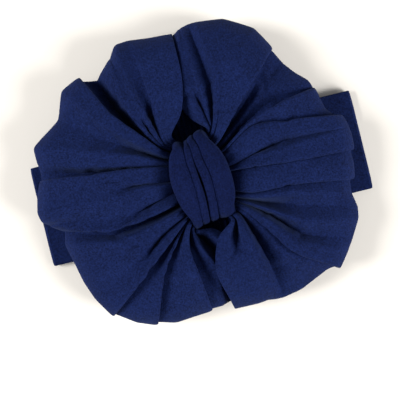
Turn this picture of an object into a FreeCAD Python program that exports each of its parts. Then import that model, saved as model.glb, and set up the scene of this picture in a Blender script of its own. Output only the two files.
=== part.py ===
"""Knotted headband: a wide stretch-knit band lying folded flat, with a large two-loop bow
gathered on top of it and held by a pleated knot wrap.

Frame: millimetres. +X runs along the folded band, +Y across it, +Z up from the surface that the
band lies on. The origin is the middle of the band's underside, below the knot.

The band is one cloth tube in a closed loop. It is cut here into panels at the lines where it
bends when the loop is opened: a short centre strip on the surface, two back panels, two end
folds, two front panels, and the gathered centre inside the knot.
"""
import FreeCAD
import Part
import math
import os

from FreeCAD import Vector

# ---- driving dimensions, in millimetres ----
BAND_HALF_LENGTH = 88.5      # middle of the band to its folded end, lying flat
BAND_WIDTH = 54.0
PLY = 0.7                    # one ply of knit
TUBE_GAP = 0.5               # air between the two plies of the flattened band tube
LAYER_GAP = 0.4              # between layers that belong to different bodies

CENTRE_STRIP_HALF = 6.0      # strip of the back layer that stays on the surface
HINGE_GAP = 0.3              # between panels that turn against each other
KNOT_HINGE_X = 18.0          # where the front panels turn beside the knot
KNOT_SIDE_CLEAR = 1.6        # from that line to the end of the front panel
FRONT_RISE = 2.2             # the front layer climbs this much from the fold to the knot

KNOT_HALF_WIDTH = 15.7       # along X, at the knot's middle
KNOT_HALF_LENGTH = 26.0      # along Y
KNOT_UNDERSIDE_Z = 2.8
KNOT_CROWN_Z = 31.5
KNOT_CROWN_R = 34.0          # the dome's radius along Y
KNOT_SHOULDER_R = 11.0       # between the dome and the two ends
KNOT_SIDE_Z = 25.0           # where its arched top meets its two sides
KNOT_END_HALF_WIDTH = 9.7    # along X, past the knot's two ends
KNOT_WALL = 2.8              # pleated wall on the top and the ends
KNOT_FLOOR = 1.9             # flat wall under the band
KNOT_CORNER = 5.0
KNOT_VALLEYS = (-8.5, -3.0, 1.5, 7.0)    # X of the valleys between the knot's pleats
VALLEY_RADIUS = 0.8
WAIST_INSET = 5.5            # from the knot's outside to the gathered waist inside it
WAIST_SIDE_INSET = 1.2       # and from the knot's sides
WAIST_Z = 9.3
WAIST_CORNER = 3.5

THREAD_RADIUS = 0.3          # buttonhole thread wound round the waist
THREAD_CLEAR = 0.05
THREAD_TURNS = 5
THREAD_PITCH = 1.5
SEAM_RADIUS = 0.17           # sewing thread
STITCH_PITCH = 2.6
STITCH_LENGTH = 2.0
SEAM_INSET = 1.7             # from the band's -Y edge to its lengthwise seam
LADDER_PITCH = 3.0           # stitches that close the knot wrap under the band
LADDER_LENGTH = 4.0
LADDER_COUNT = 13
ZIGZAG_REACH = 1.6           # overlocked seam across the band, half its width
ZIGZAG_STEP = 3.0
ZIGZAG_HALF_LENGTH = 18.0
CENTRE_THICK = 3.0           # the band's gathered middle, inside the knot
CENTRE_CLEAR = 0.2
CENTRE_END_CLEAR = 1.5
CENTRE_PROUD = 0.5           # it shows this much at the knot's two sides

BOW_BACK_Z = 6.9             # underside of the bow's back layer
BOW_BACK_THICK = 2 * PLY + 0.2
BOW_LAYER_GAP = 0.5
LOOP_INNER_X = 20.0          # the loops start this far from the middle, beside the knot
LOOP_INNER_R = 30.0          # and this far from it above and below the knot
LOOP_CROWN_Z = 31.0
LOOP_RIM_Z = 16.0
LOOP_RIM_CLEAR = 1.0         # the back layer and the underside of the rim end this far inside it
LOOP_SEAM_DEG = 2.0          # from a loop's edge to the seam beside the slit

# Outline of each loop: (angle from +X in degrees, radius from the knot's middle, fullness).
# Fullness is 1 on a pleat's ridge, less in a valley and least beside the slit.
RIGHT_LOOP = [(-88, 71, 0.22), (-80, 72, 0.6), (-70, 75, 1.0), (-60, 79, 0.8), (-47, 87, 1.0),
              (-35, 85, 0.85), (-24, 83, 1.0), (-14, 79, 0.85), (-3, 81, 1.0), (8, 81, 0.95),
              (16, 74, 0.8), (27, 76, 1.0), (38, 74, 0.85), (50, 78, 1.0), (62, 85, 0.9),
              (74, 82, 0.8), (88, 77, 0.22)]
LEFT_LOOP = [(92, 77, 0.22), (101, 80, 0.8), (110, 83, 1.0), (122, 76, 0.75), (131, 86, 1.0),
             (143, 82, 0.85), (156, 89, 1.0), (167, 86, 0.85), (178, 87, 1.0), (187, 78, 0.8),
             (200, 80, 0.95), (212, 84, 1.0), (222, 87, 0.9), (233, 83, 1.0), (246, 77, 0.85),
             (258, 72, 0.75), (268, 67, 0.22)]

# ---- sizes that follow from them ----
BAND_THICK = 2 * PLY + TUBE_GAP
FOLD_AXIS_Z = BAND_THICK + LAYER_GAP / 2
FOLD_RADIUS = FOLD_AXIS_Z
FOLD_AXIS_X = BAND_HALF_LENGTH - FOLD_RADIUS
FOLD_CLEAR = 0.2
FOLD_FILLET = 0.9
PANEL_END_X = FOLD_AXIS_X - FOLD_RADIUS - FOLD_CLEAR
FRONT_Z = BAND_THICK + LAYER_GAP
BOW_FRONT_Z = BOW_BACK_Z + BOW_BACK_THICK + BOW_LAYER_GAP

PARTS = "parts"
os.makedirs(PARTS, exist_ok=True)


def save(node, solids):
    """Writes one node, as a single solid or as a group of separate solids."""
    solids = solids if isinstance(solids, list) else [solids]
    shape = solids[0] if len(solids) == 1 else Part.makeCompound(solids)
    assert shape.isValid() and shape.Volume > 0, node
    shape.exportStep(os.path.join(PARTS, node + ".step"))
    box = shape.BoundBox
    print(f"{node:30s} solids {len(shape.Solids):3d}  volume {shape.Volume:9.1f}  "
          f"x {box.XMin:6.1f} {box.XMax:6.1f}  y {box.YMin:6.1f} {box.YMax:6.1f}  "
          f"z {box.ZMin:5.1f} {box.ZMax:5.1f}")


def slot_face(x, z_low, width, thick):
    """A flat slot with round ends, standing in the YZ plane at x."""
    r = thick / 2
    y = width / 2 - r
    z = z_low + r
    edges = [
        Part.LineSegment(Vector(x, -y, z - r), Vector(x, y, z - r)).toShape(),
        Part.Arc(Vector(x, y, z - r), Vector(x, y + r, z), Vector(x, y, z + r)).toShape(),
        Part.LineSegment(Vector(x, y, z + r), Vector(x, -y, z + r)).toShape(),
        Part.Arc(Vector(x, -y, z + r), Vector(x, -y - r, z), Vector(x, -y, z - r)).toShape(),
    ]
    return Part.Face(Part.Wire(edges))


def band_tube(x0, x1, z0, z1):
    """A length of the flattened cloth tube from x0 to x1, its underside going from z0 to z1."""
    along = Vector(x1 - x0, 0, z1 - z0)
    outer = slot_face(x0, z0, BAND_WIDTH, BAND_THICK).extrude(along)
    inner = slot_face(x0, z0 + PLY, BAND_WIDTH - 2 * PLY, TUBE_GAP).extrude(along)
    return outer.cut(inner)


def stitches(start, end, radius=SEAM_RADIUS, length=STITCH_LENGTH, pitch=STITCH_PITCH):
    """A row of separate straight stitches from start to end."""
    line = end - start
    unit = Vector(line).normalize()
    count = int((line.Length - length) / pitch) + 1
    spare = (line.Length - (count - 1) * pitch - length) / 2
    row = []
    for i in range(count):
        row.append(Part.makeCylinder(radius, length, start + unit * (spare + i * pitch), unit))
    return row


def seam_in_tube(x0, x1, z0, z1):
    """The lengthwise seam, inside the band tube near its -Y edge."""
    y = SEAM_INSET - BAND_WIDTH / 2
    middle = BAND_THICK / 2
    return stitches(Vector(x0, y, z0 + middle), Vector(x1, y, z1 + middle))


def end_fold(side):
    """The rolled cloth at one folded end of the band."""
    half = BAND_WIDTH / 2
    rod = Part.makeCylinder(FOLD_RADIUS, BAND_WIDTH,
                            Vector(side * FOLD_AXIS_X, -half, FOLD_AXIS_Z), Vector(0, 1, 0))
    rims = [e for e in rod.Edges if isinstance(e.Curve, Part.Circle)]
    return rod.makeFillet(FOLD_FILLET, rims)


def knot_wire(x, inset, z_low, corner):
    """The knot's closed outline in the YZ plane at x, every arc tangent to the next.

    It is drawn in by inset at its ends and its crown. The flat underside is at z_low.
    """
    half, crown_r, shoulder_r = (
        d - inset for d in (KNOT_HALF_LENGTH, KNOT_CROWN_R, KNOT_SHOULDER_R))
    crown_centre = KNOT_CROWN_Z - KNOT_CROWN_R
    across = half - shoulder_r
    up = math.sqrt((crown_r - shoulder_r) ** 2 - across ** 2)
    spring = crown_centre + up
    to_meet = crown_r / (crown_r - shoulder_r)
    meet_y, meet_z = across * to_meet, crown_centre + up * to_meet
    turn = math.atan2(up, across) / 2
    mid_y, mid_z = across + shoulder_r * math.cos(turn), spring + shoulder_r * math.sin(turn)
    bend = corner * (1 - math.sqrt(0.5))
    low = half - corner

    def at(y, z):
        return Vector(x, y, z)

    edges = [Part.LineSegment(at(0, z_low), at(low, z_low))]
    edges.append(Part.Arc(at(low, z_low), at(half - bend, z_low + bend), at(half, z_low + corner)))
    edges.append(Part.LineSegment(at(half, z_low + corner), at(half, spring)))
    edges.append(Part.Arc(at(half, spring), at(mid_y, mid_z), at(meet_y, meet_z)))
    edges.append(Part.Arc(at(meet_y, meet_z), at(0, crown_centre + crown_r), at(-meet_y, meet_z)))
    edges.append(Part.Arc(at(-meet_y, meet_z), at(-mid_y, mid_z), at(-half, spring)))
    edges.append(Part.LineSegment(at(-half, spring), at(-half, z_low + corner)))
    edges.append(Part.Arc(at(-half, z_low + corner), at(-half + bend, z_low + bend), at(-low, z_low)))
    edges.append(Part.LineSegment(at(-low, z_low), at(0, z_low)))
    return Part.Wire([e.toShape() for e in edges])


def knot_prism(half_x, inset, z_low, corner):
    return Part.Face(knot_wire(-half_x, inset, z_low, corner)).extrude(Vector(2 * half_x, 0, 0))


def leaf():
    """A column with the knot's outline seen from above, widest at its middle."""
    w, end, y = KNOT_HALF_WIDTH, KNOT_END_HALF_WIDTH, KNOT_HALF_LENGTH + 1
    edges = [
        Part.Arc(Vector(end, -y, 0), Vector(w, 0, 0), Vector(end, y, 0)).toShape(),
        Part.LineSegment(Vector(end, y, 0), Vector(-end, y, 0)).toShape(),
        Part.Arc(Vector(-end, y, 0), Vector(-w, 0, 0), Vector(-end, -y, 0)).toShape(),
        Part.LineSegment(Vector(-end, -y, 0), Vector(end, -y, 0)).toShape(),
    ]
    return Part.Face(Part.Wire(edges)).extrude(Vector(0, 0, KNOT_CROWN_Z + 1))


def tunnel(inset):
    """A round-topped tunnel along Y, as the knot is arched along X, drawn in by inset at the top."""
    drop = KNOT_CROWN_Z - KNOT_SIDE_Z
    radius = (KNOT_HALF_WIDTH ** 2 + drop ** 2) / (2 * drop)
    reach = radius - inset
    y = KNOT_HALF_LENGTH + 2
    barrel = Part.makeCylinder(reach, 2 * y, Vector(0, -y, KNOT_CROWN_Z - radius), Vector(0, 1, 0))
    below = Part.makeBox(2 * reach, 2 * y, KNOT_CROWN_Z - radius, Vector(-reach, -y, 0))
    return barrel.fuse(below)


def knot_wrap():
    """The pleated wrap: a closed ring round the waist of the bow and the band's centre."""
    outer = knot_prism(KNOT_HALF_WIDTH + 1, 0, KNOT_UNDERSIDE_Z, KNOT_CORNER)
    inside = knot_prism(KNOT_HALF_WIDTH + 1, KNOT_WALL, KNOT_UNDERSIDE_Z + KNOT_FLOOR,
                        KNOT_CORNER - KNOT_WALL)
    ring = outer.common(leaf()).common(tunnel(0)).cut(inside.common(tunnel(KNOT_WALL)))
    for x in KNOT_VALLEYS:
        drop = (KNOT_CROWN_Z - KNOT_SIDE_Z) * (x / KNOT_HALF_WIDTH) ** 2
        centre = Vector(x, 0, KNOT_CROWN_Z - KNOT_CROWN_R - drop)
        ring = ring.cut(Part.makeTorus(KNOT_CROWN_R, VALLEY_RADIUS, centre, Vector(1, 0, 0)))
    return ring.removeSplitter()


def bow_waist():
    """The bow's cloth, gathered to a thick waist inside the knot."""
    block = knot_prism(KNOT_HALF_WIDTH - WAIST_SIDE_INSET, WAIST_INSET, WAIST_Z, WAIST_CORNER)
    return block.common(tunnel(WAIST_INSET)).removeSplitter()


def gathering_thread():
    """Turns of thread drawn tight round the waist."""
    off = THREAD_RADIUS + THREAD_CLEAR
    turns = []
    for i in range(THREAD_TURNS):
        x = (i - (THREAD_TURNS - 1) / 2) * THREAD_PITCH
        path = knot_wire(x, WAIST_INSET - off, WAIST_Z - off, WAIST_CORNER + off)
        start = Vector(x, 0, WAIST_Z - off)
        circle = Part.Wire(Part.makeCircle(THREAD_RADIUS, start, Vector(0, 1, 0)))
        turns.append(path.makePipeShell([circle], True, False))
    return turns


def centre_floor_z():
    """The underside of the band's gathered middle, just above the knot's flat wall."""
    return KNOT_UNDERSIDE_Z + KNOT_FLOOR + CENTRE_CLEAR


def band_front_centre():
    """The gathered middle of the band's front layer, inside the knot."""
    half = KNOT_HALF_WIDTH + CENTRE_PROUD
    width = 2 * (KNOT_HALF_LENGTH - KNOT_WALL - CENTRE_END_CLEAR)
    face = slot_face(-half, centre_floor_z(), width, CENTRE_THICK)
    return face.extrude(Vector(2 * half, 0, 0))


def band_closing_seam():
    """The overlocked seam that closes the band into a loop: a zigzag across the gathered centre."""
    z = centre_floor_z() + CENTRE_THICK + SEAM_RADIUS + THREAD_CLEAR
    half_step = ZIGZAG_STEP / 2
    gap = CENTRE_CLEAR
    row = []
    for i in range(int(2 * ZIGZAG_HALF_LENGTH / half_step)):
        y = i * half_step - ZIGZAG_HALF_LENGTH
        reach = ZIGZAG_REACH if i % 2 else -ZIGZAG_REACH
        a = Vector(reach, y + gap, z)
        b = Vector(-reach, y + half_step - gap, z)
        row.append(Part.makeCylinder(SEAM_RADIUS, (b - a).Length, a, b - a))
    return row


def knot_closing_stitches():
    """A ladder of stitches that closes the wrap on its underside."""
    z = KNOT_UNDERSIDE_Z - SEAM_RADIUS - THREAD_CLEAR
    ladder = []
    for i in range(LADDER_COUNT):
        y = (i - (LADDER_COUNT - 1) / 2) * LADDER_PITCH
        start = Vector(-LADDER_LENGTH / 2, y, z)
        ladder.append(Part.makeCylinder(SEAM_RADIUS, LADDER_LENGTH, start, Vector(1, 0, 0)))
    return ladder


def inner_radius(deg):
    """How near the knot's middle a loop starts, at this angle."""
    across = abs(math.cos(math.radians(deg)))
    return min(LOOP_INNER_R, LOOP_INNER_X / max(across, 1e-6))


def fan_point(deg, r, z):
    a = math.radians(deg)
    return Vector(r * math.cos(a), r * math.sin(a), z)


def front_layer(outline):
    """The puffed front layer of one loop: pleats that fan out from the knot."""
    sections = []
    for deg, rim, full in outline:
        inner = inner_radius(deg)
        span = rim - inner
        high = LOOP_CROWN_Z - BOW_FRONT_Z
        profile = [
            (inner, BOW_FRONT_Z),
            (inner, BOW_FRONT_Z + 0.62 * high * full),
            (inner + 0.35 * span, BOW_FRONT_Z + high * full),
            (inner + 0.78 * span, BOW_FRONT_Z + 0.72 * high * full),
            (rim - 1.5, BOW_FRONT_Z + (LOOP_RIM_Z - BOW_FRONT_Z) * (0.4 + 0.6 * full)),
            (rim, BOW_FRONT_Z + 2.0),
            (rim - LOOP_RIM_CLEAR, BOW_FRONT_Z),
        ]
        points = [fan_point(deg, r, z) for r, z in profile]
        sections.append(Part.makePolygon(points + points[:1]))
    return Part.makeLoft(sections, True, True)


def back_layer(outline):
    """The flat back layer of one loop, lying on the band."""
    sections = []
    for deg, rim, _ in outline:
        inner, outer = inner_radius(deg), rim - LOOP_RIM_CLEAR
        low, top = BOW_BACK_Z, BOW_BACK_Z + BOW_BACK_THICK
        points = [fan_point(deg, r, z)
                  for r, z in ((inner, low), (inner, top), (outer, top), (outer, low))]
        sections.append(Part.makePolygon(points + points[:1]))
    return Part.makeLoft(sections, True, True)


def loop_seam(outline):
    """Stitches that close the loop's two edges beside the slit, between its layers."""
    z = BOW_BACK_Z + BOW_BACK_THICK + BOW_LAYER_GAP / 2
    row = []
    for (deg, rim, _), inward in ((outline[0], 1), (outline[-1], -1)):
        deg += LOOP_SEAM_DEG * inward
        row += stitches(fan_point(deg, LOOP_INNER_R + 2, z), fan_point(deg, rim - 4, z))
    return row


def build_band():
    strip = CENTRE_STRIP_HALF
    save("band_back_centre", band_tube(-strip, strip, 0, 0))
    save("band_back_centre_seam_thread", seam_in_tube(-strip + 0.3, strip - 0.3, 0, 0))
    near_knot = KNOT_HINGE_X + KNOT_SIDE_CLEAR
    for name, side in (("left", -1), ("right", 1)):
        back = (side * (strip + HINGE_GAP), side * PANEL_END_X, 0, 0)
        front = (side * PANEL_END_X, side * near_knot, FRONT_Z, FRONT_Z + FRONT_RISE)
        save(f"band_back_{name}", band_tube(*back))
        save(f"band_back_{name}_seam_thread", seam_in_tube(*back))
        save(f"band_{name}_fold", end_fold(side))
        save(f"band_front_{name}", band_tube(*front))
        save(f"band_front_{name}_seam_thread", seam_in_tube(*front))


def build_knot():
    save("band_front_centre", band_front_centre())
    save("band_closing_seam", band_closing_seam())
    save("bow_waist", bow_waist())
    save("gathering_thread", gathering_thread())
    save("knot_wrap", knot_wrap())
    save("knot_closing_stitches", knot_closing_stitches())


def build_bow():
    for name, outline in (("left", LEFT_LOOP), ("right", RIGHT_LOOP)):
        save(f"bow_{name}_front_layer", front_layer(outline))
        save(f"bow_{name}_back_layer", back_layer(outline))
        save(f"bow_{name}_seam_thread", loop_seam(outline))


build_band()
build_knot()
build_bow()
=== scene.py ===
"""The looks of a knotted headband: a navy stretch-knit bow, its knot wrap and its folded band.

Distances are in millimetres where they are listed, and meshes are in metres, in the part's frame:
+X along the folded band, +Y across it, +Z up from the surface that it lies on.
"""
import bpy
import math
import numpy as np
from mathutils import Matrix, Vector


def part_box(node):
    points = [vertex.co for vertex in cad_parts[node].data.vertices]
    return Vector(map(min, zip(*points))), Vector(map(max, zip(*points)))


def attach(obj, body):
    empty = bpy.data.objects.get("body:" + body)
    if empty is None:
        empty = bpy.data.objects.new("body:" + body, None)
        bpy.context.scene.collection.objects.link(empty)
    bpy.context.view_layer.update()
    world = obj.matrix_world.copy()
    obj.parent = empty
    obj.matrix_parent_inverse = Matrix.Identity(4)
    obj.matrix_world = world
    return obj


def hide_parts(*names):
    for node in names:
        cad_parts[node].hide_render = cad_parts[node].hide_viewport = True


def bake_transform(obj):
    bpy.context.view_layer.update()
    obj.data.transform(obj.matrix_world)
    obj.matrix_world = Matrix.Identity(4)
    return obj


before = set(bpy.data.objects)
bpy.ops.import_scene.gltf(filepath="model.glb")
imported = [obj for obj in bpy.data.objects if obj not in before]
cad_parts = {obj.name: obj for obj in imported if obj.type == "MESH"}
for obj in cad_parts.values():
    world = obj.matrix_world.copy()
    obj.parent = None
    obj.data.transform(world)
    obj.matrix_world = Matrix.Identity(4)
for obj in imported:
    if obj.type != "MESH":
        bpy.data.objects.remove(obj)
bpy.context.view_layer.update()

MM = 0.001
CAMERA = (-3.6, -11.1, 510.0)
TILT = math.radians(-13.81)  # the camera is turned this far about its line of sight
SEEN_Z = 22.0                # the lists below give places as the camera sees them at this height
CLOTH_THICK = 0.8            # one layer of the bow's cloth
BACK_Z = 7.3                 # the bow's back layer, on top of the band
BACK_PLEAT = 1.8             # its pleats rise this much
RIM_Z = 11.5                 # height of a loop's outermost edge
RIM_UNDER = 3.0              # how far the rim rolls in below that edge
SHOULDER = 6.0               # from the rim to the shoulder where a pleat starts to fall
LAP = 3.0                    # how far a folded pleat lies over the next one
TAUT = 0.7                   # 0 leaves the cloth rounded between two lines, 1 pulls it straight
GRID_STEP = 1.4              # the usual distance between two samples across the pleats
GRID_SPANS = (3, 12)         # the fewest and the most samples from one line to the next
INNER_ROOT = (0.45, 0.8, 13.0)   # a line starts in the knot at these shares of its x and y, at this z
BACK_ROOT = (0.6, 0.85, 1.4)     # and ends at these shares, this much over BACK_Z
BACK_SHARES = (0.98, 0.9)        # below, halfway and near the knot, it lies nearer to the middle
UNDER_RISE = 0.6                 # the rolled-in rim lies this much over BACK_Z

# Heights of each kind of pleat line at the knot, near it, halfway, and at its shoulder.
HEIGHTS = {
    "crest": (22.0, 26.0, 27.5, 20.0),
    "panel": (21.2, 25.2, 26.4, 19.3),
    "soft": (20.0, 23.8, 25.2, 18.5),
    "pinch": (12.0, 16.2, 24.6, 19.2),
    "trough": (12.0, 16.0, 21.0, 18.3),
    "dip": (12.0, 15.5, 22.0, 18.6),
    "valley": (11.0, 12.5, 15.0, 13.5),
    "edge": (22.0, 25.8, 27.4, 20.0),
}
LIFT_SHARES = (0.3, 1, 1, 0.6)        # a line's lift counts this much at the same four places
UNDER_DROP = (4.0, 5.0, 4.8, 3.2)     # a fold's hidden inner line lies this much lower
UNDER_LAP = (0.15, 0.5, 0.9, 0.7)     # and this share of the lap to the side

CREASE_HALF = (0.35, 1.1, 3.2, 0.3)   # half the width of a crease, at the knot, near it, halfway, at the rim
CREASE_RISE = {                       # and the height of its sides over its bottom
    "pinch": (6.5, 6.8, 1.6, 0.1),
    "trough": (6.5, 7.5, 5.0, 0.9),
}

SETTLE_SCALE = 10            # the simulation runs this many times larger than real
SETTLE_STEPS = 16            # frames of cloth simulation for each loop
SETTLE_CAP = 1.2             # the furthest that a point may move in it
SPRING_BACK = 0.02           # share by which the knit grows as it springs back
SOFT_HOLD = 1.0              # stiffness of the soft pins
BENDING = 6.0                # stiffness against bending, tension and shear
TENSION = 12.0
SHEAR = 4.0
PUFF = 0.3                   # air pressure that rounds the pleats

# Pleat lines of each loop, anticlockwise from one slit to the other:
# (kind, lift, lap, at the knot, near it, halfway, at the rim), the last four as (x, y) points.
# A lap above 0 folds this pleat over the next line, below 0 over the line before it.
RIGHT_PLEATS = [
    ("edge", 0.0, 0, (10, -25), (1.5, -32), (-4, -48), (0.5, -69.3)),
    ("crest", 0.5, 0, (11, -24.5), (5, -34), (1, -50), (7, -69.5)),
    ("dip", 2.5, 0, (11.8, -24.5), (11.2, -32), (8.5, -44), (13, -69.5)),
    ("crest", 0.0, 0, (12.6, -24), (13.6, -33), (15, -48), (18.5, -69)),
    ("edge", 0.0, 0, (13.4, -23), (16.3, -33.4), (18.9, -48), (22.3, -69.5)),
    ("valley", 3.5, 0, (14, -22), (18.8, -34.8), (23, -50.5), (26.3, -69.6)),
    ("panel", -4.0, 0, (14.4, -20.5), (22.6, -33.7), (31.5, -51), (36, -67.8)),
    ("panel", -2.5, 0, (14.7, -18.9), (24.0, -32.0), (35.0, -49.6), (52, -60.8)),
    ("edge", 0.5, -1, (14.8, -18.5), (25, -31), (37, -48), (58, -62.2)),
    ("panel", 0.5, 0, (15, -17.6), (27, -28.6), (41, -43.6), (63.5, -55)),
    ("dip", -2.0, 0, (15.3, -16.8), (28.8, -26.3), (43.2, -40.2), (67.5, -49)),
    ("crest", -0.5, 0, (15.5, -16), (30, -24.5), (46, -34), (73, -39.5)),
    ("dip", -1.0, 0, (15.7, -14.8), (28, -19.8), (45, -25), (74, -34)),
    ("crest", -0.5, 0, (15.8, -13.6), (28.5, -17), (47, -19.5), (72.7, -26)),
    ("soft", 0.0, 0, (15.8, -12), (27, -14.8), (46, -16), (73.3, -20)),
    ("edge", 0.0, -1, (15.5, -10.5), (24, -13.4), (45, -14.6), (76, -19.2)),
    ("panel", 1.0, 0, (16, -5), (28, -7), (48, -8.5), (77.5, -11)),
    ("soft", 1.0, 0, (16, -1.5), (28, -2.5), (50, -4.5), (77.3, -6)),
    ("edge", 0.5, -1, (16, 0.2), (28, -0.8), (50, -3), (79.5, -4.5)),
    ("panel", 0.5, 0, (16, 1), (30, 2.2), (50, 2.3), (80, 3)),
    ("trough", 1.0, 0, (16, 1.6), (29, 5.2), (46, 8), (79.5, 7)),
    ("crest", -0.5, 0, (15.7, 3), (30, 7.7), (47, 12), (78.8, 10.5)),
    ("panel", 1.0, 0, (15, 6.5), (29, 13), (46, 15.5), (78, 12.6)),
    ("edge", -0.5, 1, (14.5, 9), (31, 18.8), (50, 18), (77.5, 13.6)),
    ("soft", 0.0, 0, (14.3, 10), (31, 19.6), (51, 22.5), (70, 19)),
    ("edge", 0.0, 1, (14, 11), (30, 21), (46, 27), (67.3, 31)),
    ("valley", 6.0, 0, (13.7, 12), (26, 20.7), (44, 29), (65, 35)),
    ("panel", -4.0, 0, (13.3, 13.5), (24.5, 22), (38, 31.5), (59, 41)),
    ("soft", -4.0, 0, (13, 14.5), (24.5, 23.5), (40, 38), (54, 47.5)),
    ("valley", 5.5, 0, (12.6, 15.3), (24, 25.3), (38, 40), (50.7, 54)),
    ("edge", 0.5, -1, (12.3, 16), (23, 27), (37, 41.5), (51, 55.8)),
    ("crest", 0.0, 0, (11.8, 18), (20, 32), (31.5, 52), (44, 68)),
    ("soft", 1.5, 0, (11.5, 19.3), (18, 35), (25, 55), (30, 76.3)),
    ("crest", 0.0, 0, (11, 21), (16.3, 35), (19.8, 50), (16, 78)),
    ("valley", 5.5, 0, (10.6, 22), (13.8, 32), (15.6, 45), (12, 77.8)),
    ("crest", -2.5, 0, (10.6, 22.6), (11.2, 32), (10.3, 46), (8.5, 77)),
    ("pinch", -1.0, 0, (10.6, 22.9), (9.2, 32), (6.5, 46), (6.8, 76.3)),
    ("crest", -2.5, 0, (10.4, 23.1), (5.5, 31), (2.8, 48), (5.2, 75.3)),
    ("edge", -6.0, 0, (9.8, 23.0), (1.8, 31.5), (-4, 45), (-2, 71)),
]
LEFT_PLEATS = [
    ("edge", -0.5, 0, (-10.5, 24.5), (-2.5, 35), (2, 50), (2.7, 75)),
    ("crest", 0.0, 0, (-12.3, 22.8), (-10.3, 32), (-4.5, 47), (-1, 75.3)),
    ("panel", 0.5, 0, (-13, 22.3), (-13.3, 33), (-10.5, 50), (-9, 75.8)),
    ("crest", -0.5, 0, (-14, 21.7), (-15.3, 32), (-15.8, 47), (-16, 76.5)),
    ("pinch", -1.0, 0, (-14.5, 21.2), (-17, 31), (-18.7, 44), (-21, 77)),
    ("crest", 0.0, 0, (-15, 20.8), (-19, 30), (-22.5, 44), (-27, 76.3)),
    ("pinch", 2.0, 0, (-15.3, 20.2), (-20, 28), (-24, 39), (-31.3, 70)),
    ("crest", -1.0, 0, (-15.5, 19.5), (-22, 28.3), (-29, 45), (-37.5, 64)),
    ("valley", -3.5, 0, (-15.6, 18.2), (-23, 26), (-33.5, 43), (-40.3, 60.8)),
    ("edge", 0.5, -1, (-15.6, 17), (-24, 26.5), (-38, 43.5), (-49, 64.7)),
    ("panel", 1.5, 0, (-15.4, 15.3), (-27.5, 24.5), (-44.5, 41), (-59, 60)),
    ("dip", 0.5, 0, (-15.6, 12.6), (-27, 20), (-41, 29), (-64.5, 46)),
    ("crest", -0.5, 0, (-15.6, 11.6), (-30, 18.3), (-50, 25.5), (-80, 35)),
    ("soft", 0.0, 0, (-15.6, 10.3), (-33, 14.3), (-56, 19.5), (-80, 27)),
    ("valley", 2.5, 0, (-15.6, 9.6), (-33, 13.3), (-57, 16.8), (-79.5, 21)),
    ("edge", 0.5, -1, (-15.6, 9), (-33, 12.5), (-56, 15), (-81, 17.8)),
    ("panel", 1.0, 0, (-15.6, 6), (-33, 8), (-56, 9), (-84.5, 9)),
    ("pinch", 1.5, 0, (-15.6, 1.2), (-29, 3.4), (-46, 4), (-86, 2)),
    ("crest", -0.5, 0, (-15.5, 0), (-29, 0.8), (-46, -2), (-85, -2.5)),
    ("pinch", -0.5, 0, (-15.5, -4.5), (-24, -6.5), (-40, -10), (-81, -5.5)),
    ("edge", 0.0, 1, (-15, -9.7), (-28.5, -13), (-52, -15.5), (-75, -9.5)),
    ("valley", 5.0, 0, (-15, -12), (-29, -15.3), (-50, -18), (-74.6, -11)),
    ("crest", -1.0, 0, (-14.6, -14), (-28, -18), (-50, -21.5), (-76, -17)),
    ("panel", 0.0, 0, (-14.3, -15.5), (-27, -20), (-46, -27), (-73.5, -28)),
    ("crest", -0.5, 0, (-14, -16.6), (-27, -21.7), (-42, -28.5), (-71.3, -38)),
    ("pinch", -0.5, 0, (-13.6, -17.8), (-26, -24.3), (-39, -34), (-67.5, -48)),
    ("edge", 0.5, 1, (-13, -19.5), (-23, -28), (-40, -42), (-61, -58.5)),
    ("valley", 9.0, 0, (-12.8, -20), (-22, -29.8), (-35.3, -45.0), (-50, -64.2)),
    ("edge", -0.5, 1, (-12.5, -20.6), (-21, -30), (-31, -45), (-40, -68)),
    ("valley", 9.0, 0, (-12.3, -21.2), (-19, -31.4), (-25, -46.5), (-30.5, -69)),
    ("crest", -1.0, 0, (-12, -21.8), (-17, -32), (-19.5, -48), (-21, -68.3)),
    ("edge", -1.0, 1, (-11.7, -22.5), (-15, -33), (-13.5, -48), (-11, -67.5)),
    ("valley", 6.5, 0, (-11.3, -23.5), (-12.7, -33), (-8, -48), (-5.5, -66.3)),
    ("crest", -3.0, 0, (-11, -24.7), (-10, -32), (-4.3, -45), (-3, -65.5)),
    ("valley", -2.0, 0, (-10.5, -26), (-6, -33), (-1, -44), (-1, -65)),
    ("crest", -6.5, 0, (-9.7, -26.5), (-3.5, -28.8), (6, -44), (4, -64)),
    ("edge", -9.0, 0, (-8.5, -26), (0, -27.5), (10, -40), (9, -62)),
]


def in_sight(x, y, z):
    """The place at height z that the camera sees at (x, y), given at SEEN_Z."""
    share = (CAMERA[2] - z) / (CAMERA[2] - SEEN_Z)
    return (CAMERA[0] + (x - CAMERA[0]) * share, CAMERA[1] + (y - CAMERA[1]) * share, z)


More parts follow.
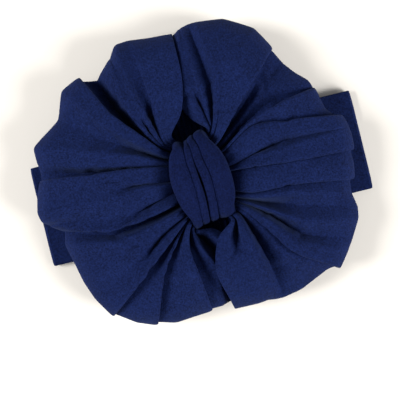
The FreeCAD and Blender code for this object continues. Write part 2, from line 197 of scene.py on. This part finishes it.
def through(points, counts, taut=0.0):
    """A centripetal spline through points along the first axis, with counts[i] samples in span i.

    taut pulls each span towards the straight line between its ends.
    """
    first = 2 * points[:1] - points[1:2]
    last = 2 * points[-1:] - points[-2:-1]
    chain = np.concatenate([first, points, last])
    spans = []
    for i, count in enumerate(counts):
        p0, p1, p2, p3 = chain[i:i + 4]
        knots = [np.zeros(p0.shape[:-1] + (1,))]
        for a, b in ((p0, p1), (p1, p2), (p2, p3)):
            gap = np.maximum(np.linalg.norm(b - a, axis=-1, keepdims=True), 1e-6)
            knots.append(knots[-1] + np.sqrt(gap))
        t0, t1, t2, t3 = knots
        for u in np.arange(count) / count:
            t = t1 + u * (t2 - t1)
            a1 = ((t1 - t) * p0 + (t - t0) * p1) / (t1 - t0)
            a2 = ((t2 - t) * p1 + (t - t1) * p2) / (t2 - t1)
            a3 = ((t3 - t) * p2 + (t - t2) * p3) / (t3 - t2)
            b1 = ((t2 - t) * a1 + (t - t0) * a2) / (t2 - t0)
            b2 = ((t3 - t) * a2 + (t - t1) * a3) / (t3 - t1)
            curved = ((t2 - t) * b1 + (t - t1) * b2) / (t2 - t1)
            spans.append(curved * (1 - taut) + (p1 + u * (p2 - p1)) * taut)
    spans.append(points[-1])
    return np.array(spans)


def pleat_line(heights, spots, hollow):
    """One line of a loop's cloth: out of the knot, over the front, round the rim and back below."""
    zs = (heights[0], heights[1], heights[2], RIM_Z)
    root, near, mid, rim = (np.array(in_sight(*spot, z)[:2]) for spot, z in zip(spots, zs))
    out = (rim - mid) / np.linalg.norm(rim - mid)
    shoulder = rim - out * SHOULDER
    under = rim - out * RIM_UNDER
    back = BACK_Z + BACK_PLEAT * hollow
    return [
        (*(root * INNER_ROOT[:2]), INNER_ROOT[2]),
        (*root, heights[0]),
        (*near, heights[1]),
        (*mid, heights[2]),
        (*shoulder, heights[3]),
        (*rim, RIM_Z),
        (*under, BACK_Z + UNDER_RISE),
        (*(mid * BACK_SHARES[0]), back),
        (*(near * BACK_SHARES[1]), back),
        (*(root * BACK_ROOT[:2]), BACK_Z + BACK_ROOT[2]),
    ]


def loop_lines(pleats):
    """Every pleat line of a loop, with each fold's hidden inner line and each crease's two sides."""
    lines = []
    for kind, lift, lap, *spots in pleats:
        heights = [h + lift * share for h, share in zip(HEIGHTS[kind], LIFT_SHARES)]
        flat = [np.array(spot, float) for spot in spots]
        along = (flat[3] - flat[0]) / np.linalg.norm(flat[3] - flat[0])
        side = np.array((-along[1], along[0]))
        hollow = 1.0 if kind in ("valley", "dip", "pinch", "trough") else 0.0
        own = pleat_line(heights, spots, hollow)
        if kind in CREASE_RISE:
            high = [h + rise for h, rise in zip(heights, CREASE_RISE[kind])]
            before = [p - side * half for p, half in zip(flat, CREASE_HALF)]
            after = [p + side * half for p, half in zip(flat, CREASE_HALF)]
            lines += [pleat_line(high, before, 0.5), own, pleat_line(high, after, 0.5)]
            continue
        lines.append(own)
        if lap:
            hidden = [p - side * lap * LAP * share for p, share in zip(flat, UNDER_LAP)]
            hidden[3] = hidden[3] - along
            low = [h - drop for h, drop in zip(heights, UNDER_DROP)]
            line = pleat_line(low, hidden, 1.0)
            lines.insert(len(lines) if lap > 0 else len(lines) - 1, line)
    return np.array(lines)


ALONG = (3, 8, 8, 8, 4, 4, 8, 6, 4)   # samples in each of the nine spans between a line's points
# How firmly the cloth is held at the start and at the end of each span.
HOLDS = ((1, 1), (1, 0.5), (0.5, 0.35), (0.35, 0.5), (0.5, 0.7), (0.7, 0.8), (0.8, 1), (1, 1), (1, 1))


def loop_surface(pleats):
    """The cloth of one loop as a grid of points, (across the pleats, along them, 3)."""
    lines = np.swapaxes(loop_lines(pleats), 0, 1)
    lines = np.swapaxes(through(lines, ALONG), 0, 1)
    widths = np.linalg.norm(np.diff(lines, axis=0), axis=-1).max(axis=1)
    across = np.clip(np.round(widths / GRID_STEP), *GRID_SPANS).astype(int)
    return through(lines, across, TAUT)


def loop_hold():
    """How firmly each sample along a loop's lines is held: most at the knot, the rim and the back."""
    holds = []
    for count, (start, end) in zip(ALONG, HOLDS):
        holds += [start + (end - start) * i / count for i in range(count)]
    return np.round(np.array(holds + [1.0]), 2)


def smooth_grid(grid, rounds):
    """Softens a grid, leaving its border where it is."""
    for _ in range(rounds):
        inner = (grid[:-2, 1:-1] + grid[2:, 1:-1] + grid[1:-1, :-2] + grid[1:-1, 2:]) / 4
        grid = grid.copy()
        grid[1:-1, 1:-1] = 0.5 * grid[1:-1, 1:-1] + 0.5 * inner
    return grid


def settle(name, grid, hold):
    """The grid after a cloth simulation in which the knit springs back from being bunched.

    hold, one number from 0 to 1 per point, is how firmly the point keeps its place. The
    simulation runs at SETTLE_SCALE, because the solver is steadier on a larger cloth.
    """
    rows, columns = grid.shape[:2]
    piece = grid_mesh(name, grid * SETTLE_SCALE)
    group = piece.vertex_groups.new(name="hold")
    for level in np.unique(hold):
        group.add(np.flatnonzero(hold.reshape(-1) == level).tolist(), float(level), "REPLACE")
    cloth = modify(piece, "CLOTH")
    knit = cloth.settings
    knit.quality = 6
    knit.mass = 0.2
    knit.air_damping = 4.0
    knit.tension_stiffness = TENSION
    knit.compression_stiffness = TENSION
    knit.shear_stiffness = SHEAR
    knit.bending_stiffness = BENDING
    knit.vertex_group_mass = "hold"
    knit.pin_stiffness = SOFT_HOLD
    knit.shrink_min = -SPRING_BACK
    knit.effector_weights.gravity = 0.0
    knit.use_pressure = True
    knit.uniform_pressure_force = PUFF
    cloth.collision_settings.use_collision = False
    cloth.collision_settings.use_self_collision = False
    scene = bpy.context.scene
    for step in range(1, SETTLE_STEPS + 1):
        scene.frame_set(step)
    settled = piece.evaluated_get(bpy.context.evaluated_depsgraph_get()).data
    spots = np.empty(rows * columns * 3, np.float32)
    settled.vertices.foreach_get("co", spots)
    scene.frame_set(1)
    bpy.data.objects.remove(piece)
    move = spots.reshape(grid.shape).astype(float) / (SETTLE_SCALE * MM) - grid
    size = np.linalg.norm(move, axis=-1, keepdims=True)
    return grid + move * SETTLE_CAP * np.tanh(size / SETTLE_CAP) / np.maximum(size, 1e-9)


def arc_lengths(grid, axis):
    """The mean distance run along one axis of a grid, in millimetres."""
    steps = np.linalg.norm(np.diff(grid, axis=axis), axis=-1).mean(axis=1 - axis)
    return np.concatenate([[0], np.cumsum(steps)])


def grid_mesh(name, grid, closed=False):
    """A mesh of quads over a grid given in millimetres, with its UVs in cloth millimetres."""
    rows, columns = grid.shape[:2]
    i, j = np.meshgrid(np.arange(rows if closed else rows - 1), np.arange(columns - 1), indexing="ij")
    k = (i + 1) % rows
    quads = np.stack([i * columns + j, k * columns + j, k * columns + j + 1, i * columns + j + 1], axis=-1)
    quads = quads.reshape(-1, 4)
    mesh = bpy.data.meshes.new(name)
    mesh.from_pydata((grid.reshape(-1, 3) * MM).tolist(), [], quads.tolist())
    u, v = arc_lengths(grid, 0), arc_lengths(grid, 1)
    if closed:
        u = np.append(u, u[-1] + np.linalg.norm(grid[0] - grid[-1], axis=-1).mean())
    corners_u = u[np.stack([i, i + 1, i + 1, i], axis=-1)]
    corners_v = v[np.stack([j, j, j + 1, j + 1], axis=-1)]
    layer = mesh.uv_layers.new(name="cloth_mm")
    layer.data.foreach_set("uv", np.stack([corners_u, corners_v], axis=-1).reshape(-1).astype(np.float32))
    mesh.polygons.foreach_set("use_smooth", np.ones(len(mesh.polygons), bool))
    mesh.update()
    piece = bpy.data.objects.new(name, mesh)
    bpy.context.scene.collection.objects.link(piece)
    return piece


# The knot wrap's pleat lines, left to right: depth below the dome, y where each end turns down,
# then x at the top end, near it, in the middle, near the bottom end and at that end.
KNOT_LINES = [
    (10.5, 21.0, -24.6, -9.9, -14.0, -14.6, -13.6, -8.8),
    (6.5, 21.2, -25.0, -10.6, -15.1, -15.6, -14.7, -9.6),
    (2.4, 21.0, -25.2, -10.2, -14.0, -14.3, -13.1, -9.1),
    (0.4, 20.8, -24.8, -9.0, -11.4, -11.0, -10.0, -8.0),
    (0.0, 20.4, -24.3, -7.6, -8.8, -8.0, -7.2, -6.9),
    (0.4, 19.9, -23.9, -6.2, -6.9, -5.9, -5.5, -5.9),
    (2.4, 19.5, -23.4, -5.2, -5.9, -4.9, -4.6, -5.1),
    (0.5, 19.9, -23.5, -4.4, -5.0, -4.1, -3.9, -4.5),
    (0.1, 20.2, -23.4, -3.6, -3.9, -3.0, -2.6, -3.4),
    (0.6, 20.5, -23.2, -3.0, -2.9, -2.3, -1.5, -1.9),
    (4.0, 20.3, -22.9, -2.8, -2.6, -2.0, -1.2, -1.5),
    (10.0, 20.0, -22.6, -2.7, -2.6, -1.9, -0.8, -1.0),
    (10.0, 20.0, -22.6, -2.6, -1.7, 0.1, 0.6, -0.7),
    (4.0, 20.5, -22.7, -2.5, -1.5, 0.4, 1.0, -0.2),
    (0.5, 20.9, -22.9, -2.3, -1.1, 0.8, 1.3, 0.2),
    (0.0, 21.6, -22.7, -1.2, 0.3, 2.0, 2.5, 1.6),
    (0.4, 22.2, -22.5, -0.1, 1.7, 3.6, 3.8, 3.0),
    (2.4, 22.3, -22.1, 0.8, 2.7, 4.6, 4.7, 4.0),
    (0.5, 22.9, -22.3, 1.8, 3.9, 5.7, 5.7, 5.0),
    (0.0, 23.6, -22.4, 3.6, 6.9, 8.4, 8.3, 7.0),
    (0.5, 23.9, -22.6, 5.2, 10.0, 11.2, 11.1, 9.4),
    (2.8, 23.2, -22.9, 6.8, 12.4, 13.6, 13.7, 11.6),
    (6.5, 22.2, -23.0, 8.0, 13.8, 14.8, 15.0, 12.6),
    (10.5, 21.2, -22.8, 7.5, 12.8, 13.8, 14.0, 11.8),
]
# The wrap's ring, from its underside up over the dome and down again. At the ends: distance past
# y where the end turns down, z, and the share of the depth. On the dome: y, z, and how much of
# the way from the nearer end's x to the next column's x, which are numbered from the top.
KNOT_END = [(-9.0, 3.2, 0.0), (-3.0, 5.5, 0.0), (-0.6, 13.0, 0.1), (0.0, 19.0, 0.35), (-1.6, 24.6, 0.9)]
KNOT_DOME = [(16.5, 28.2, 0, 1, 0.65), (10.0, 30.0, 0, 1, 1), (0.0, 31.4, 1, 2, 1),
             (-10.0, 30.0, 2, 3, 1), (-16.5, 28.2, 4, 3, 0.75)]
KNOT_CENTRE_Z = 14.0         # the wrap's depth is measured towards this height
KNOT_UNDER_SHARE = 0.6       # the underside's middle lies this share of the way to the bottom end
KNOT_UNDER_SAG = 0.1         # and this much lower than its ends
# Samples in each span of the ring, and between two pleat lines.
KNOT_ALONG = (6, 6, 4, 5, 6, 5, 7, 7, 5, 6, 5, 4, 6, 6, 6, 6)
KNOT_ACROSS = 4


def knot_surface():
    """The knot wrap's cloth as a grid, (across its pleats, round its ring, 3)."""
    lines = []
    for depth, top, bottom, *xs in KNOT_LINES:
        path = [(top + dy, z, share, xs[0]) for dy, z, share in KNOT_END]
        path += [(y, z, 1.0, xs[a] + (xs[b] - xs[a]) * part) for y, z, a, b, part in KNOT_DOME]
        path += [(bottom - dy, z, share, xs[4]) for dy, z, share in KNOT_END[::-1]]
        line = []
        for y, z, share, x in path:
            inward = np.array((-y, KNOT_CENTRE_Z - z))
            inward = inward / np.linalg.norm(inward) * depth * share
            line.append((*in_sight(x, y, max(z, SEEN_Z))[:2], z) + np.array((0, *inward)))
        middle_x = line[0][0] * (1 - KNOT_UNDER_SHARE) + line[-1][0] * KNOT_UNDER_SHARE
        middle = np.array((middle_x, 0, line[0][2] - KNOT_UNDER_SAG))
        lines.append(line + [middle] + line[:1])
    lines = np.swapaxes(np.array(lines), 0, 1)
    lines = np.swapaxes(through(lines, KNOT_ALONG), 0, 1)
    return through(lines, [KNOT_ACROSS] * (len(KNOT_LINES) - 1))


GATHER_REACH = 37.0          # the gathered back cloth runs this far to each side of the middle
GATHER_Z = 10.0
GATHER_WIDTH = (11.5, 14.0)  # half its width, at the middle and at its ends
GATHER_PLEATS = 17           # half-waves of its pleats across that width
GATHER_RISE = (0.9, 0.6)     # height of its pleats over GATHER_Z, at the middle and at its ends
GATHER_DRIFT = 0.6           # makes the pleats uneven


def gathers_surface(columns=64, rows=60):
    """The bow's back cloth, gathered into small pleats under the knot and fanned out past it."""
    grid = np.zeros((columns + 1, rows + 1, 3))
    for i, u in enumerate(np.linspace(-1, 1, columns + 1)):
        wave = math.sin(u * GATHER_PLEATS / 2 * math.pi + GATHER_DRIFT * math.sin(3 * u))
        for j, v in enumerate(np.linspace(-1, 1, rows + 1)):
            half = np.interp(abs(v), (0, 1), GATHER_WIDTH)
            rise = np.interp(abs(v), (0, 1), GATHER_RISE)
            grid[i, j] = (u * half, v * GATHER_REACH, GATHER_Z + wave * rise)
    return grid


# ---- the band ----
CAD = {name: tuple(np.array(corner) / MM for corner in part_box(name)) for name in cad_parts}
BAND_HALF_WIDTH = CAD["band_back_left"][1][1]
BAND_THICK = CAD["band_back_left"][1][2]
FOLD_X = CAD["band_right_fold"][1][0] - CAD["band_right_fold"][1][2] / 2
FOLD_Z = CAD["band_right_fold"][1][2] / 2
CENTRE_Z = (CAD["band_front_centre"][0][2] + CAD["band_front_centre"][1][2]) / 2
CENTRE_HALF_WIDTH = CAD["band_front_centre"][1][1]
CENTRE_THICK = CAD["band_front_centre"][1][2] - CAD["band_front_centre"][0][2]
FRONT_END = CAD["band_front_right"][0][0]
FRONT_END_Z = CAD["band_front_right"][1][2] - BAND_THICK / 2
SECTION_POWERS = (0.35, 0.45)   # across and up: the smaller, the more the tube's section is a box


def band_section(half_width, thick, count=56):
    """Offsets (across, up) round the flattened tube, closed."""
    turn = np.arange(count) / count * 2 * math.pi
    flat = np.sign(np.cos(turn)) * np.abs(np.cos(turn)) ** SECTION_POWERS[0]
    rise = np.sign(np.sin(turn)) * np.abs(np.sin(turn)) ** SECTION_POWERS[1]
    return flat * half_width, rise * thick / 2


def band_piece(name, path, widths, thicks):
    """A length of the band's tube along path, (x, z) points in millimetres."""
    path = np.array(path, float)
    tangent = np.gradient(path, axis=0)
    tangent /= np.linalg.norm(tangent, axis=1, keepdims=True)
    rows = []
    for point, along, width, thick in zip(path, tangent, widths, thicks):
        across, up = band_section(width, thick)
        normal = np.array((-along[1], along[0]))
        x = point[0] + up * normal[0]
        z = point[1] + up * normal[1]
        rows.append(np.stack([x, across, z], axis=-1))
    grid = np.swapaxes(np.array(rows), 0, 1)
    return grid_mesh(name, grid, closed=True)


def modify(piece, kind, **settings):
    """Adds a modifier of this kind to a piece, with these settings."""
    modifier = piece.modifiers.new(kind.lower(), kind)
    for key, value in settings.items():
        setattr(modifier, key, value)
    return modifier


# ---- materials ----
def nodes_of(material):
    """A short way to add a node to a material, set its values and link its inputs."""
    tree = material.node_tree

    def add(kind, inputs=(), **settings):
        node = tree.nodes.new("ShaderNode" + kind)
        for key, value in settings.items():
            setattr(node, key, value)
        for key, value in dict(inputs).items():
            if isinstance(value, bpy.types.NodeSocket):
                tree.links.new(value, node.inputs[key])
            else:
                node.inputs[key].default_value = value
        return node

    def math_node(operation, *values):
        return add("Math", {i: v for i, v in enumerate(values)}, operation=operation).outputs[0]

    return add, math_node


def cloth_material(name, colour, wale=0.8, course=0.65, relief=0.1):
    """Brushed stretch knit: columns of V stitches, a soft mottled nap, and slightly uneven dye."""
    material = bpy.data.materials.new(name)
    material.use_nodes = True
    tree = material.node_tree
    add, calc = nodes_of(material)
    shader = tree.nodes["Principled BSDF"]
    uv = add("UVMap", uv_map="cloth_mm")
    axes = add("SeparateXYZ", {0: uv.outputs[0]})
    column = calc("DIVIDE", axes.outputs[0], wale)
    row = calc("DIVIDE", axes.outputs[1], course)
    slope = calc("MULTIPLY", calc("PINGPONG", column, 0.5), 1.6)
    ridge = calc("ABSOLUTE", calc("SINE", calc("MULTIPLY", column, math.pi)))
    stitch = calc("SINE", calc("MULTIPLY", calc("ADD", row, slope), 2 * math.pi))
    knit = calc("ADD", calc("MULTIPLY", ridge, 0.7), calc("MULTIPLY", stitch, 0.3))
    place = add("TexCoord").outputs["Object"]
    nap = add("TexNoise", {"Vector": place, "Scale": 1100.0, "Detail": 2.0, "Roughness": 0.6})
    mottle = add("TexNoise", {"Vector": place, "Scale": 420.0, "Detail": 3.0, "Roughness": 0.6})
    dye = add("TexNoise", {"Vector": place, "Scale": 60.0, "Detail": 3.0, "Roughness": 0.6})

    def blend_of(*parts):
        """The sum of some patterns, each times its share."""
        total = calc("MULTIPLY", *parts[0])
        for part in parts[1:]:
            total = calc("ADD", total, calc("MULTIPLY", *part))
        return total

    height = blend_of((knit, 0.5), (nap.outputs[0], 1.2), (mottle.outputs[0], 1.4))
    bump = add("Bump", {"Height": height, "Strength": 0.6, "Distance": relief * MM})
    shade = blend_of((knit, 0.15), (nap.outputs[0], 2.2), (mottle.outputs[0], 0.6), (dye.outputs[0], 0.5))
    shade = calc("SUBTRACT", shade, 0.75)       # so that the colour is darkest between the fibres
    mixed = add("VectorMath", {0: colour, "Scale": shade}, operation="SCALE")
    tree.links.new(mixed.outputs[0], shader.inputs["Base Color"])
    tree.links.new(bump.outputs[0], shader.inputs["Normal"])
    shader.inputs["Roughness"].default_value = 0.9
    shader.inputs["Specular IOR Level"].default_value = 0.045
    shader.inputs["Sheen Weight"].default_value = 0.04
    shader.inputs["Sheen Roughness"].default_value = 0.5
    shader.inputs["Sheen Tint"].default_value = (0.35, 0.5, 1.0, 1)
    return material


def thread_material(name, colour):
    """Twisted sewing thread."""
    material = bpy.data.materials.new(name)
    material.use_nodes = True
    tree = material.node_tree
    add, calc = nodes_of(material)
    shader = tree.nodes["Principled BSDF"]
    place = add("TexCoord").outputs["Object"]
    twist = add("TexWave", {"Vector": place, "Scale": 900.0, "Distortion": 1.0}, bands_direction="DIAGONAL")
    shade = calc("ADD", calc("MULTIPLY", twist.outputs[1], 0.5), 0.7)
    tone = add("VectorMath", {0: colour, "Scale": shade}, operation="SCALE")
    bump = add("Bump", {"Height": twist.outputs[1], "Strength": 0.6, "Distance": 0.00005})
    tree.links.new(tone.outputs[0], shader.inputs["Base Color"])
    tree.links.new(bump.outputs[0], shader.inputs["Normal"])
    shader.inputs["Roughness"].default_value = 0.6
    return material


navy = cloth_material("navy_knit", (0.0047, 0.0099, 0.0478))
# A darker copy of the navy knit for the knot wrap: painted shade, which darkens the raised wrap as if it lay
# in shade
painted_shade_navy = cloth_material("navy_knit_painted_shade", (0.0029, 0.0061, 0.0345))
thread = thread_material("sewing_thread", (0.010, 0.014, 0.060))
for name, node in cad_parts.items():
    sewn = any(word in name for word in ("seam", "thread", "stitches"))
    node.data.materials.clear()
    node.data.materials.append(thread if sewn else navy)

# ---- the bow ----
for side, pleats, sign in (("left", LEFT_PLEATS, -1), ("right", RIGHT_PLEATS, 1)):
    grid = smooth_grid(loop_surface(pleats), 1)
    grid = settle(f"{side}_settling", grid, np.tile(loop_hold(), (grid.shape[0], 1)))
    piece = grid_mesh(f"bow_{side}_loop", grid)
    piece.data.materials.append(navy)
    modify(piece, "SOLIDIFY", thickness=CLOTH_THICK * MM, offset=-1)
    modify(piece, "SUBSURF", levels=1, render_levels=1)
    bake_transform(piece)
    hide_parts(f"bow_{side}_front_layer", f"bow_{side}_back_layer", f"bow_{side}_seam_thread")

# ---- the knot wrap and the waist inside it ----
wrap = grid_mesh("knot_wrap_cloth", smooth_grid(knot_surface(), 1))
# the knot wrap takes the darker copy of the navy knit, its painted shade
wrap.data.materials.append(painted_shade_navy)
modify(wrap, "SOLIDIFY", thickness=CLOTH_THICK * MM, offset=-1)
modify(wrap, "SUBSURF", levels=1, render_levels=1)
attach(wrap, "knot")
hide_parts("knot_wrap")

gathers = grid_mesh("bow_waist_gathers", gathers_surface())
gathers.data.materials.append(navy)
modify(gathers, "SOLIDIFY", thickness=CLOTH_THICK * MM, offset=-1)
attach(gathers, "knot")
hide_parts("bow_waist", "gathering_thread")

# ---- the band's cloth ----
FOLD_RADIUS = FOLD_Z - BAND_THICK / 2      # of the turn at each end of the folded band
UNDER_KNOT = FRONT_END - 3                 # the left front cloth runs under the knot and ends here
END_LAP = 0.6                              # the right one ends this much nearer to the middle
GATHER_START = FRONT_END + 12              # the front cloth is gathered from here on, over
GATHER_SPAN = 14                           # this distance, into the knot
PRESSED = 0.7                              # share by which it takes on the CAD piece's thickness there


def band_path(piece_name, path):
    """A length of the band's tube along path, at its full width."""
    return band_piece(piece_name, path, [BAND_HALF_WIDTH] * len(path), [BAND_THICK] * len(path))


def front_piece(side, sign, inner):
    """The band's front cloth on one side, gathered where it goes into the knot."""
    start_z = FOLD_Z + FOLD_RADIUS
    path, widths, thicks = [], [], []
    for x in np.linspace(FOLD_X, inner, 60):
        share = min(1, max(0, (FOLD_X - x) / (FOLD_X - FRONT_END)))
        near = min(1, max(0, (GATHER_START - x) / GATHER_SPAN))
        near = near * near * (3 - 2 * near)
        path.append((sign * x, start_z + (FRONT_END_Z - start_z) * share + (CENTRE_Z - FRONT_END_Z) * near))
        widths.append(BAND_HALF_WIDTH + (CENTRE_HALF_WIDTH - BAND_HALF_WIDTH) * near)
        thicks.append(BAND_THICK + (CENTRE_THICK - BAND_THICK) * near * PRESSED)
    return band_piece(f"band_front_{side}_cloth", path, widths, thicks)


for side, sign in (("left", -1), ("right", 1)):
    xs = np.concatenate([np.linspace(0, 14, 15), np.linspace(16, FOLD_X, 36)])
    back = band_path(f"band_back_{side}_cloth", [(sign * x, BAND_THICK / 2) for x in xs])
    turn = np.linspace(-math.pi / 2, math.pi / 2, 13)
    path = [(sign * (FOLD_X + FOLD_RADIUS * math.cos(a)), FOLD_Z + FOLD_RADIUS * math.sin(a)) for a in turn]
    fold = band_path(f"band_{side}_fold_cloth", path)
    inner = -UNDER_KNOT if side == "left" else UNDER_KNOT - END_LAP
    front = front_piece(side, sign, inner)
    for piece in (back, fold, front):
        piece.data.materials.append(navy)
    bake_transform(back)
    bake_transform(fold)
    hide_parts(f"band_{side}_fold")
    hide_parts(f"band_front_{side}", f"band_front_{side}_seam_thread")
    if side == "left":
        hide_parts("band_back_left", "band_back_centre")
        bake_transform(front)
        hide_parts("band_front_centre")
    else:
        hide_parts("band_back_right")
        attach(front, "front_right")

# ---- floor, lights and camera ----
floor_mesh = bpy.data.meshes.new("floor")
floor_mesh.from_pydata([(-3, -3, 0), (3, -3, 0), (3, 3, 0), (-3, 3, 0)], [], [(0, 1, 2, 3)])
floor = bpy.data.objects.new("floor", floor_mesh)
floor.location.z = -0.3 * MM  # clear of the band's underside
bpy.context.scene.collection.objects.link(floor)
paint = bpy.data.materials.new("floor_paint")
paint.use_nodes = True
paint_shader = paint.node_tree.nodes["Principled BSDF"]
paint_shader.inputs["Base Color"].default_value = (0.78, 0.74, 0.68, 1)
paint_shader.inputs["Roughness"].default_value = 0.9
floor_mesh.materials.append(paint)

RIGHT = np.array((math.cos(TILT), math.sin(TILT), 0))
UP = np.array((-math.sin(TILT), math.cos(TILT), 0))
OUT = np.array((0, 0, 1))


def area_light(name, offset, size, power):
    """A soft square light at offset = (right, up, out) of the view, in metres, aimed at the bow."""
    light = bpy.data.lights.new(name, "AREA")
    light.size = size
    light.energy = power
    lamp = bpy.data.objects.new(name, light)
    lamp.location = RIGHT * offset[0] + UP * offset[1] + OUT * offset[2]
    lamp.rotation_euler = (-Vector(lamp.location)).to_track_quat("-Z", "Y").to_euler()
    bpy.context.scene.collection.objects.link(lamp)


area_light("window", (-1.6, -0.1, 1.0), 0.9, 56)
area_light("fill", (1.6, -0.55, 0.9), 0.8, 57)
world = bpy.data.worlds.new("studio")
world.use_nodes = True
sky = world.node_tree.nodes["Background"]
sky.inputs["Color"].default_value = (0.95, 0.97, 1.0, 1)
sky.inputs["Strength"].default_value = 0.28
bpy.context.scene.world = world

camera = bpy.data.objects.new("camera", bpy.data.cameras.new("camera"))
camera.data.lens = 85
camera.location = [place * MM for place in CAMERA]
camera.rotation_euler = (0, 0, TILT)
bpy.context.scene.collection.objects.link(camera)
bpy.context.scene.camera = camera
bpy.context.scene.view_settings.view_transform = "Standard"
